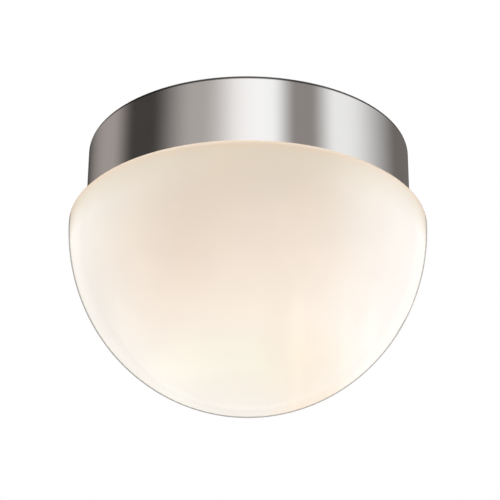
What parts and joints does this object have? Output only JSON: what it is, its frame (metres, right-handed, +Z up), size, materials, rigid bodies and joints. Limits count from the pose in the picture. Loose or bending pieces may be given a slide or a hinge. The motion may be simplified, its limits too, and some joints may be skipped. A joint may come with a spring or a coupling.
{
  "type": "flush ceiling light",
  "caption": "Flush ceiling light: polished canopy ring over a dished pan, with a blown opal mushroom glass that pulls down off spring catches for relamping.",
  "frame": {"origin": "centre of the light on the ceiling plane, at the middle of the mounting strap's top face", "axes": "+Z up into the ceiling, with the light hanging below Z = 0; X along the mounting strap"},
  "size_m": [0.24, 0.24, 0.1813],
  "materials": {
    "polished_nickel": "polished",
    "white_enamel": "satin",
    "aluminium_rivet": "satin",
    "glass_fibre": "matte",
    "zinc_steel": "satin",
    "yellow_zinc": "satin",
    "green_steel": "satin",
    "black_rubber": "matte",
    "block_nylon": "satin",
    "brass": "satin",
    "black_pvc": "satin",
    "white_pvc": "satin",
    "green_pvc": "satin",
    "porcelain": "gloss",
    "spring_steel": "satin",
    "silicone": "matte",
    "opal_glass": "gloss",
    "frosted_glass": "satin",
    "aluminium_cap": "satin",
    "black_glass": "gloss",
    "solder": "satin",
    "stem_glass": "gloss",
    "nickel_wire": "satin",
    "tungsten": "matte"
  },
  "bodies": {
    "fixture": {"canopy": "polished_nickel", "base_pan": "white_enamel", "pan_rivets": "aluminium_rivet", "insulation_pad": "glass_fibre", "mounting_strap": "zinc_steel", "mounting_screws": "yellow_zinc", "ground_screw": "green_steel", "wire_grommet": "black_rubber", "terminal_block": "block_nylon", "terminal_inserts": "brass", "terminal_screws": "zinc_steel", "terminal_block_screws": "zinc_steel", "live_lead": "black_pvc", "neutral_lead": "white_pvc", "earth_lead": "green_pvc", "earth_tag": "zinc_steel", "earth_screw": "green_steel", "lampholder_body": "porcelain", "lampholder_shell": "brass", "lampholder_contact": "brass", "lampholder_terminals": "brass", "lampholder_terminal_screws": "zinc_steel", "lampholder_screws": "zinc_steel", "lampholder_nuts": "zinc_steel", "reflector": "white_enamel", "reflector_studs": "zinc_steel", "reflector_nuts": "zinc_steel", "shade_clips": "spring_steel", "clip_rivets": "aluminium_rivet", "shade_bumpers": "silicone"},
    "shade": {"glass_shade": "opal_glass"},
    "lamp": {"lamp_envelope": "frosted_glass", "lamp_cap": "aluminium_cap", "lamp_insulator": "black_glass", "lamp_contact": "solder", "lamp_stem": "stem_glass", "lamp_wires": "nickel_wire", "lamp_filament": "tungsten"}
  },
  "joints": [
    {"name": "shade_pull", "type": "slide", "parent": "fixture", "child": "shade", "axis": [0, 0, -1], "range_m": [0, 0.15], "deforming": ["shade_clips"]},
    {"name": "lamp_removal", "type": "slide", "parent": "fixture", "child": "lamp", "axis": [0, 0, -1], "range_m": [0, 0.027]}
  ]
}
